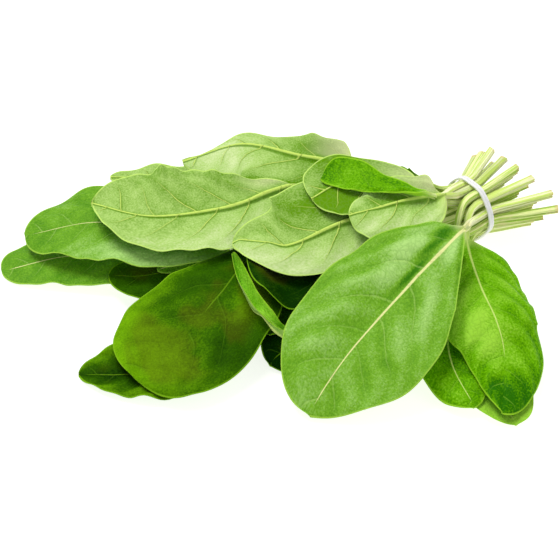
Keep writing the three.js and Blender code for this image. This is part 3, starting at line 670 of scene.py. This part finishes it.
def new_piece(name, surface, closed=False, values=None):
    """Mesh object through rings of points in millimetres. An open row of rings is closed by a point at each
    end. values gives three numbers for each point, by name."""
    rings, around = surface.shape[:2]
    points = surface.reshape(-1, 3)
    faces = ring_faces(rings, around, closed)
    caps = np.zeros((0, 3), int)
    if not closed:
        first, last = len(points), (rings - 1) * around
        j = np.arange(around)
        k = (j + 1) % around
        caps = np.vstack(
            [np.stack([0 * j + first, k, j], 1), np.stack([0 * j + first + 1, last + j, last + k], 1)]
        )
        points = np.vstack([points, surface[0].mean(0), surface[-1].mean(0)])
    mesh = bpy.data.meshes.new(name)
    mesh.vertices.add(len(points))
    mesh.vertices.foreach_set("co", (points * MM).astype(np.float32).ravel())
    mesh.loops.add(faces.size + caps.size)
    mesh.loops.foreach_set("vertex_index", np.concatenate([faces.ravel(), caps.ravel()]).astype(np.int32))
    starts = np.append(np.arange(len(faces)) * 4, faces.size + np.arange(len(caps)) * 3)
    mesh.polygons.add(len(starts))
    mesh.polygons.foreach_set("loop_start", starts.astype(np.int32))
    mesh.polygons.foreach_set("use_smooth", np.ones(len(starts), bool))
    for key, grid in (values or {}).items():
        flat = grid.reshape(-1, 3)
        if not closed:
            flat = np.vstack([flat, grid[0].mean(0), grid[-1].mean(0)])
        data = mesh.attributes.new(key, "FLOAT_VECTOR", "POINT").data
        data.foreach_set("vector", flat.astype(np.float32).ravel())
    mesh.update()
    mesh.validate()
    piece = bpy.data.objects.new(name, mesh)
    bpy.context.scene.collection.objects.link(piece)
    return piece


# ---- The band ---------------------------------------------------------------------------------------


def band_surface(count):
    """One elastic loop that runs twice round the stems: the taut line round the outermost stems, rounded at
    the corners, carried twice round with the second turn beside the first, and lifted where they cross.
    The strand's section is a superellipse, |x/w|^3 + |y/t|^3 = 1."""
    stems = np.array([slot_offset((row, place)) for row, n in enumerate(SLOT_ROWS) for place in range(n)])
    reach = STEM_RADIUS + BAND_FIT + STRAND_THICKNESS / 2
    turn = np.radians(np.arange(0, 360, 1.0))
    way = np.stack([np.cos(turn), np.sin(turn)], 1)
    corners = stems[np.argmax(way @ stems.T - 1e-9 * np.arange(len(stems)), axis=1)] + reach * way
    loop = np.vstack([corners, corners[:1]])
    lengths = np.append(0, np.cumsum(np.linalg.norm(np.diff(loop, axis=0), axis=1)))
    at = np.arange(count) / count * lengths[-1]
    path = np.stack([np.interp(at, lengths, loop[:, k]) for k in (0, 1)], 1)
    for _ in range(CORNER_PASSES):
        path = (np.roll(path, -1, 0) + 2 * path + np.roll(path, 1, 0)) / 4
    ahead = unit(np.roll(path, -1, 0) - np.roll(path, 1, 0))
    outward = np.stack([ahead[:, 1], -ahead[:, 0]], 1)
    share = np.arange(count) / count
    crossed = smooth(CROSSING_AT - CROSSING_SPAN / 2, CROSSING_AT + CROSSING_SPAN / 2, share)
    apart = STRAND_WIDTH * (STRANDS_APART + STRANDS_SPREAD * smooth(0, -BUNDLE_RISE, path[:, 1]))
    lift = (STRAND_THICKNESS + STRAND_GAP) * np.sin(np.pi * crossed)
    lifted = np.append(0 * lift, lift)[:, None]
    sideways = np.append(mix(-apart, apart, crossed), -mix(-apart, apart, crossed))
    path, outward = np.tile(path, (2, 1)), np.tile(outward, (2, 1))
    path = path + lifted * outward
    middle = CENTRE + path[:, :1] * ACROSS + path[:, 1:] * UP - BUNCH_MIDDLE + sideways[:, None] * AXIS
    out = outward[:, :1] * ACROSS + outward[:, 1:] * UP
    round_it = -2 * np.pi * np.arange(20) / 20
    c, s = np.cos(round_it), np.sin(round_it)
    x = STRAND_WIDTH / 2 * np.sign(c) * np.abs(c) ** (2 / 3)
    y = STRAND_THICKNESS / 2 * np.sign(s) * np.abs(s) ** (2 / 3)
    surface = middle[:, None] + x[:, None] * AXIS + y[:, None] * out[:, None]
    run = np.arange(2 * count)[:, None] / count * lengths[-1] + 0 * x
    return surface, {"strand": np.stack([run, x + 0 * run, y + 0 * run], -1)}


# ---- Finishes ---------------------------------------------------------------------------------------

# Sizes of the patterns, in millimetres.
DRIFT, CLOUD, MOTTLE = 24, 6, 0.9  # broad shades, small shades and the fine speckle of a leaf
NET_CELL = 2.8  # between the smallest veins: about 1 on a leaf, drawn as coarse as it needs to show
NET_WANDER, NET_BEND = 6, 5  # how far the net is drawn out of line, and in bends of what size
BROWNING, STREAK, STREAK_LENGTH, FLUSH, DRIED_SPOT = 5, 1.2, 40, 9, 4  # of midribs and stems
BRAID = 1.2  # of the elastic: about 0.5 on the real one, drawn as coarse as it needs to show

BRONZE, BROWNED, BLUSH, DRIED = "#54480c", "#b39a5c", "#e6dcb8", "#e6cd92"


def colour(hexed):
    """Linear colour of an sRGB hex value."""
    parts = np.array([int(hexed[i : i + 2], 16) for i in (1, 3, 5)]) / 255
    linear = np.where(parts <= 0.04045, parts / 12.92, ((parts + 0.055) / 1.055) ** 2.4)
    return (*linear, 1.0)


def add(tree, kind, feeds, out=0, **settings):
    """Adds a node with its settings and links: feeds gives its inputs, in order or by name, each a value or
    the output that it is linked to. Gives the output that out names, or all of them for None."""
    made = tree.nodes.new("ShaderNode" + kind)
    for key, value in settings.items():
        setattr(made, key, value)
    for key, value in feeds.items() if isinstance(feeds, dict) else enumerate(feeds):
        if isinstance(value, bpy.types.NodeSocket):
            tree.links.new(value, made.inputs[key])
        else:
            made.inputs[key].default_value = value
    return made.outputs if out is None else made.outputs[out]


def new_finish(name, **shader):
    """Material with one Principled shader, whose constant values are set on its own sockets."""
    material = bpy.data.materials.new(name)
    material.use_nodes = True
    principled = material.node_tree.nodes["Principled BSDF"]
    for key, value in shader.items():
        principled.inputs[key.replace("_", " ")].default_value = value
    return material, material.node_tree, principled


def leaf_finish(
    name, top, under, rib, margin, stem, sheen, gleam, quilt, speckle=1.0, blushing=0.0, bronzed=0.0
):
    """Living sorrel leaf: waxy above, matt and raised-veined beneath, on a pale ribbed stem. top and under
    are the darkest, the middle and the brightest colour of that side; rib and sheen are for above and
    beneath, and margin for the side veins above and the rim. gleam is the strength of the wax's reflection,
    quilt how far the cells between the small veins stand out, speckle the strength of the fine mottle,
    blushing how pinkish white the far side of the blade is near its base, and bronzed how brown the broad
    patches are that old leaves get above."""
    material, tree, shader = new_finish(name, IOR=1.42, Specular_IOR_Level=gleam)
    node = partial(add, tree)
    # A Mix node takes its share at 0, two numbers at 2 and 3, or two colours at 6 and 7.
    eased = dict(interpolation_type="SMOOTHSTEP")
    tinted = dict(out=2, data_type="RGBA")

    # What the mesh says of each point, in millimetres where it is a length.
    place, vein_place, kind, around = (
        node("Attribute", [], "Vector", attribute_name=key)
        for key in ("leaf_place", "leaf_vein", "leaf_kind", "leaf_round")
    )
    along, across, margin_away = node("SeparateXYZ", [place], None)
    phase, reach, rib_away = node("SeparateXYZ", [vein_place], None)
    blade, side, bright = node("SeparateXYZ", [kind], None)
    own_place, height, from_cut = node("SeparateXYZ", [around], None)
    spot = node("CombineXYZ", [along, across, own_place])
    upper = node("MapRange", [side, 0.35, 0.65], **eased)

    # Patterns.
    drift = node("TexNoise", {"Vector": spot, "Scale": 1 / DRIFT})
    cloud = node("TexNoise", {"Vector": spot, "Scale": 1 / CLOUD, "Detail": 3.0})
    mottle = node("TexNoise", {"Vector": spot, "Scale": 1 / MOTTLE, "Detail": 3.0})
    shift = node("TexNoise", {"Vector": spot, "Scale": 1 / NET_BEND}, "Color")
    warped = node("VectorMath", [shift, (NET_WANDER, NET_WANDER, 0.0), spot], operation="MULTIPLY_ADD")
    net = node(
        "TexVoronoi", {"Vector": warped, "Scale": 1 / NET_CELL}, "Distance",
        feature="DISTANCE_TO_EDGE", voronoi_dimensions="2D",
    )

    # Side veins lie where the phase is whole, and half a turn on in the right half. Each has painted shade
    # on its flank towards the base, and fades out towards the margin, some sooner than others.
    right_half = node("Math", [across, 0.0], operation="GREATER_THAN")
    sided = node("Math", [right_half, 0.5, phase], operation="MULTIPLY_ADD")
    sway = node("Math", [cloud, 0.5], operation="SUBTRACT")
    wavering = node("Math", [sway, 0.1, sided], operation="MULTIPLY_ADD")
    half_on = node("Math", [wavering, 0.5], operation="ADD")
    half_on = node("Math", [half_on], operation="FRACT")
    off_vein = node("Math", [half_on, 0.5], operation="SUBTRACT")
    vein_width = node("Math", [reach, -0.016, 0.028], operation="MULTIPLY_ADD")
    widths_off = node("Math", [off_vein, vein_width], operation="DIVIDE")
    away = node("Math", [widths_off], operation="ABSOLUTE")
    number = node("Math", [wavering], operation="ROUND")
    own = node("TexWhiteNoise", {"W": number}, noise_dimensions="1D")
    own = node("Math", [own, 0.5, 0.5], operation="MULTIPLY_ADD")
    fading = node("MapRange", [reach, 0.3, 0.85, 1.0, 0.0], **eased)
    fading = node("Math", [fading, own], operation="MULTIPLY")
    vein = node("MapRange", [away, 0.4, 1.5, 1.0, 0.0], **eased)
    vein = node("Math", [vein, fading], operation="MULTIPLY")
    flank_start = node("MapRange", [widths_off, -5.0, -1.2], **eased)
    flank_end = node("MapRange", [widths_off, -1.2, -0.6, 1.0, 0.0], **eased)
    flank = node("Math", [flank_start, flank_end], operation="MULTIPLY")
    flank = node("Math", [flank, fading], operation="MULTIPLY")

    # The midrib, wide beneath and narrow above, with painted shade on its flanks beneath.
    rib_beneath = node("MapRange", [rib_away, 0.55, 1.0, 1.0, 0.0], **eased)
    rib_above = node("MapRange", [rib_away, 0.32, 0.72, 1.0, 0.0], **eased)
    rib_flank = node("MapRange", [rib_away, 1.0, 2.6, 1.0, 0.0], **eased)
    rib_flank = node("Math", [rib_flank, rib_beneath], operation="SUBTRACT")
    midrib = node("Mix", {0: upper, 2: rib_beneath, 3: rib_above})

    # Brightness: what the mesh gives, with broad, small and fine shades that even out.
    level = node("Math", [drift, 0.5, bright], operation="MULTIPLY_ADD")
    level = node("Math", [cloud, 0.25, level], operation="MULTIPLY_ADD")
    level = node("Math", [mottle, speckle, level], operation="MULTIPLY_ADD")
    level = node("Math", [level, (0.5 + 0.25 + speckle) / 2], operation="SUBTRACT")
    sides = []
    for three in (top, under):
        sides.append(node("ValToRGB", [level]))
        elements = sides[-1].node.color_ramp.elements
        elements.new(0.5)
        for element, at, hexed in zip(elements, (0.1, 0.5, 0.95), three):
            element.position, element.color = at, colour(hexed)
    above, beneath = sides

    # Above: small cells in the net of veins, painted shade on the side veins' flanks, bronze patches away
    # from the margin, and fine pale side veins.
    cells = node("MapRange", [net, 0.0, 0.22, quilt, 0.0], **eased)
    above = node("Mix", {0: cells, 6: above, 7: colour(top[0])}, **tinted)
    share = node("Math", [flank, 0.22], operation="MULTIPLY")
    above = node("Mix", {0: share, 6: above, 7: colour(top[0])}, **tinted)
    share = node("Math", [vein, 0.35], operation="MULTIPLY")
    above = node("Mix", {0: share, 6: above, 7: colour(margin[0])}, **tinted)
    patch = node("MapRange", [drift, 0.48, 0.6, 0.0, bronzed], **eased)
    inside = node("MapRange", [margin_away, 4.0, 14.0], **eased)
    share = node("Math", [patch, inside], operation="MULTIPLY")
    above = node("Mix", {0: share, 6: above, 7: colour(BRONZE)}, **tinted)

    # Beneath: raised pale veins with painted shade on their flanks and the midrib's, and the blush near the
    # base.
    cells = node("MapRange", [net, 0.0, 0.22, 0.04, 0.0], **eased)
    beneath = node("Mix", {0: cells, 6: beneath, 7: colour(under[2])}, **tinted)
    share = node("Math", [flank, rib_flank], operation="MAXIMUM")
    share = node("Math", [share, 0.7], operation="MULTIPLY")
    beneath = node("Mix", {0: share, 6: beneath, 7: colour(under[0])}, **tinted)
    share = node("Math", [vein, 0.9], operation="MULTIPLY")
    beneath = node("Mix", {0: share, 6: beneath, 7: colour(rib[1])}, **tinted)
    near_base = node("MapRange", [along, 4.0, 34.0, blushing, 0.0], **eased)
    far_side = node("MapRange", [across, -2.0, -9.0], **eased)
    share = node("Math", [near_base, far_side], operation="MULTIPLY")
    beneath = node("Mix", {0: share, 6: beneath, 7: colour(BLUSH)}, **tinted)

    # Both sides: the pale margin, and the midrib, browned in places above.
    sheet = node("Mix", {0: upper, 6: beneath, 7: above}, **tinted)
    edge = node("MapRange", [margin_away, 0.3, 0.95, 0.85, 0.0], **eased)
    sheet = node("Mix", {0: edge, 6: sheet, 7: colour(margin[1])}, **tinted)
    browned = node("TexNoise", {"Vector": spot, "Scale": 1 / BROWNING})
    browned = node("MapRange", [browned, 0.6, 0.72, 0.0, 0.5], **eased)
    rib_colour = node("Mix", {0: browned, 6: colour(rib[0]), 7: colour(BROWNED)}, **tinted)
    rib_colour = node("Mix", {0: upper, 6: colour(rib[1]), 7: rib_colour}, **tinted)
    sheet = node("Mix", {0: midrib, 6: sheet, 7: rib_colour}, **tinted)

    # The stem: long pale streaks, a pinkish flush, painted shade that makes its lower side darker and
    # greener, a dried cut end, and the midrib's colour where it becomes the blade.
    stretched = node("VectorMath", [around, (1.0, 1.0, STREAK / STREAK_LENGTH)], operation="MULTIPLY")
    streak = node("TexNoise", {"Vector": stretched, "Scale": 1 / STREAK, "Detail": 3.0})
    share = node("MapRange", [streak, 0.40, 0.58], **eased)
    stalk = node("Mix", {0: share, 6: colour(stem[0]), 7: colour(stem[1])}, **tinted)
    flush = node("TexNoise", {"Vector": around, "Scale": 1 / FLUSH})
    flush = node("MapRange", [flush, 0.55, 0.75, 0.0, 0.45], **eased)
    stalk = node("Mix", {0: flush, 6: stalk, 7: colour(stem[2])}, **tinted)
    # Painted shade: the stem's lower side darker and greener.
    lower_side_shade = node("MapRange", [height, 0.2, -1.6, 0.0, 0.35], **eased)
    stalk = node("Mix", {0: lower_side_shade, 6: stalk, 7: colour(stem[3])}, **tinted)
    at_cut = node("MapRange", [from_cut, 0.2, 3.0, 1.0, 0.0], **eased)
    dried = node("TexNoise", {"Vector": around, "Scale": 1 / DRIED_SPOT})
    dried = node("MapRange", [dried, 0.45, 0.6, 0.15, 0.8], **eased)
    dried = node("Math", [at_cut, dried], operation="MULTIPLY")
    stalk = node("Mix", {0: dried, 6: stalk, 7: colour(DRIED)}, **tinted)
    near_blade = node("MapRange", [along, -22.0, -3.0, 0.0, 0.6], **eased)
    stalk = node("Mix", {0: near_blade, 6: stalk, 7: rib_colour}, **tinted)
    skin = node("Mix", {0: blade, 6: stalk, 7: sheet}, **tinted)
    tree.links.new(skin, shader.inputs["Base Color"])

    # Relief in millimetres: veins stand out beneath and lie sunk above, and the stem is grooved.
    raised = node("Math", [upper, -0.8, 0.6], operation="MULTIPLY_ADD")
    raised = node("Math", [vein, raised], operation="MULTIPLY")
    puffed = node("Math", [upper, quilt, 0.02], operation="MULTIPLY_ADD")
    domes = node("MapRange", [net, 0.0, 0.5], **eased)
    raised = node("Math", [domes, puffed, raised], operation="MULTIPLY_ADD")
    raised = node("Math", [mottle, 0.2, raised], operation="MULTIPLY_ADD")
    grooves = node("Math", [streak, 0.4], operation="MULTIPLY")
    relief = node("Mix", {0: blade, 2: grooves, 3: raised})
    bump = node("Bump", {"Height": relief, "Distance": MM, "Strength": 0.9})
    tree.links.new(bump, shader.inputs["Normal"])

    # Gloss: the wax above shines a little more than the matt side, and both vary with the mottle.
    rough = node("Math", [upper, sheen[0] - sheen[1], sheen[1]], operation="MULTIPLY_ADD")
    rough = node("Math", [mottle, 0.12, rough], operation="MULTIPLY_ADD")
    tree.links.new(rough, shader.inputs["Roughness"])
    return material


def elastic_finish():
    """Elastic cord: fine rubber threads under a close white braid, which looks soft, white and ribbed."""
    material, tree, shader = new_finish("braided_elastic", Roughness=0.62, IOR=1.46)
    strand = add(tree, "Attribute", [], "Vector", attribute_name="strand")
    braid = add(
        tree, "TexWave", {"Vector": strand, "Scale": 1 / BRAID, "Distortion": 0.6, "Detail": 1.0}, "Fac",
        wave_type="BANDS", bands_direction="DIAGONAL",
    )
    threads = add(tree, "ValToRGB", [braid])
    for element, hexed in zip(threads.node.color_ramp.elements, ("#ececee", "#ffffff")):
        element.color = colour(hexed)
    tree.links.new(threads, shader.inputs["Base Color"])
    bump = add(tree, "Bump", {"Height": braid, "Distance": 0.05 * MM, "Strength": 0.5})
    tree.links.new(bump, shader.inputs["Normal"])
    return material


def table_finish():
    """Opal glass of a light table, lit from below, which gives a plain pale ground with faint shadows."""
    return new_finish(
        "lit_white_table", Roughness=0.9, Base_Color=colour("#b8b8b7"),
        Emission_Color=colour("#fafaf8"), Emission_Strength=0.85,
    )[0]


# Of a stem: its grooves, its ridges, its flush and the painted shade of its lower side.
STEM = ("#daf080", "#ffffd2", "#ffeac4", "#98b83a")
GREENER_STEM = ("#b8dc5c", "#f8ffb4", "#fbe8bc", "#7ca424")
FINISHES = {
    # A full-grown leaf: thick wax, so a clear fresh green with a faint shine and a pale midrib.
    "grown": leaf_finish(
        "grown_sorrel_leaf",
        top=("#3a7e00", "#7ab428", "#b2de7c"), under=("#7fae42", "#a6cc66", "#cfe8a0"),
        rib=("#eef0a2", "#d2e684"), margin=("#b4dc70", "#a9d84a"), stem=STEM, sheen=(0.45, 0.65),
        gleam=0.12, quilt=0.2, speckle=0.65,
    ),
    # A young leaf: thin and full of sap, so a strong yellow-green, puffed up between the small veins.
    "fresh": leaf_finish(
        "young_sorrel_leaf",
        top=("#2a7000", "#70b600", "#a2dc40"), under=("#6fa52e", "#9ccb52", "#c6e68a"),
        rib=("#cbe678", "#cfe27e"), margin=("#93cf3a", "#9ed62e"), stem=STEM, sheen=(0.42, 0.62),
        gleam=0.04, quilt=0.16,
    ),
    # A leaf that lies in the shade inside the bunch: dark, which is painted shade, and dull, with a midrib
    # nearly as green as the blade.
    "deep": leaf_finish(
        "shaded_sorrel_leaf",
        top=("#0c3200", "#376600", "#76b008"), under=("#3f6a12", "#628f28", "#8cb850"),
        rib=("#648f12", "#a3c45a"), margin=("#5f901a", "#84ba1e"), stem=GREENER_STEM, sheen=(0.5, 0.65),
        gleam=0.02, quilt=0.1, speckle=0.5, bronzed=0.35,
    ),
    # A leaf that lies with its underside up: no wax there, so matt and pale, with raised light veins.
    "pale": leaf_finish(
        "turned_sorrel_leaf",
        top=("#3f8f06", "#74b42c", "#9ccc5c"), under=("#629608", "#abd06c", "#dcecae"),
        rib=("#dfe79a", "#d3ee72"), margin=("#a5cf66", "#cff27a"), stem=STEM, sheen=(0.42, 0.7),
        gleam=0.06, quilt=0.1, speckle=0.7, blushing=0.45,
    ),
}
ELASTIC = elastic_finish()

# ---- The bunch --------------------------------------------------------------------------------------

for number, entry in enumerate(LEAVES, 1):
    leaf = entry if "rib" in entry else heap_leaf(entry, number)
    leaf["rib"] = np.array(leaf["rib"], float)
    look = LOOKS.get(leaf["name"], HEAP_LOOK)
    node = "leaf_" + leaf["name"]
    line = leaf_line(leaf, number)
    solid = solid_rises(leaf, line, node, HEAP_STEPS if "heading" in leaf else SOLID_STEPS)
    surface, values = leaf_surface(leaf, look, line, number, solid)
    piece = new_piece("sorrel_" + leaf["name"], surface, values=values)
    piece.data.materials.append(FINISHES[look["finish"]])
    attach(piece, "root")
    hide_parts(node)

surface, values = band_surface(220)
band = new_piece("elastic_band", surface, closed=True, values=values)
band.data.materials.append(ELASTIC)
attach(band, "root")
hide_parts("band")

# ---- Table, light and camera ------------------------------------------------------------------------

table_corners = [(-3, -3, 0), (3, -3, 0), (3, 3, 0), (-3, 3, 0)]
table_mesh = bpy.data.meshes.new("table_top")
table_mesh.from_pydata(table_corners, [], [(0, 1, 2, 3)])
table_top = bpy.data.objects.new("table_top", table_mesh)
bpy.context.scene.collection.objects.link(table_top)
table_mesh.materials.append(table_finish())


def soft_box(name, place, target, size, power, tint):
    """Square soft light at a place, turned towards its target."""
    light = bpy.data.lights.new(name, "AREA")
    light.shape, light.size, light.energy, light.color = "SQUARE", size, power, colour(tint)[:3]
    lamp = bpy.data.objects.new(name, light)
    forward = unit(np.array(target, float) - place)
    side = unit(np.cross(forward, UP))
    up = np.cross(side, forward)
    lamp.location = place
    lamp.rotation_euler = Matrix(np.stack([side, up, -forward], 1).tolist()).to_euler()
    bpy.context.scene.collection.objects.link(lamp)


soft_box("soft_key", (-0.4, 0.35, 1.4), (0, 0, 0), 0.8, 15, "#ffffff")
soft_box("soft_fill", (0.9, -0.6, 0.9), (0, 0, 0), 1.2, 2.5, "#ffffff")

world = bpy.data.worlds.new("studio")
world.use_nodes = True
world.node_tree.nodes["Background"].inputs["Color"].default_value = colour("#ffffff")
world.node_tree.nodes["Background"].inputs["Strength"].default_value = 0.45
bpy.context.scene.world = world
bpy.context.scene.view_settings.view_transform = "Standard"

ELEVATION = np.radians(42)
DISTANCE = 1.0
PIXELS, PIXEL_SIZE = 560, 0.52  # across the render, and of one at the target, in mm
SENSOR = 36
TARGET = np.array([-100, -36, 0]) * MM - BUNCH_MIDDLE * MM
lens = bpy.data.cameras.new("studio_camera")
lens.sensor_width, lens.lens = SENSOR, SENSOR / (PIXELS * PIXEL_SIZE * MM / DISTANCE)
lens.clip_start, lens.clip_end = 0.05, 20
camera = bpy.data.objects.new("studio_camera", lens)
camera.location = TARGET + DISTANCE * np.array([0, -np.cos(ELEVATION), np.sin(ELEVATION)])
camera.rotation_euler = (np.pi / 2 - ELEVATION, 0, 0)
bpy.context.scene.collection.objects.link(camera)
bpy.context.scene.camera = camera
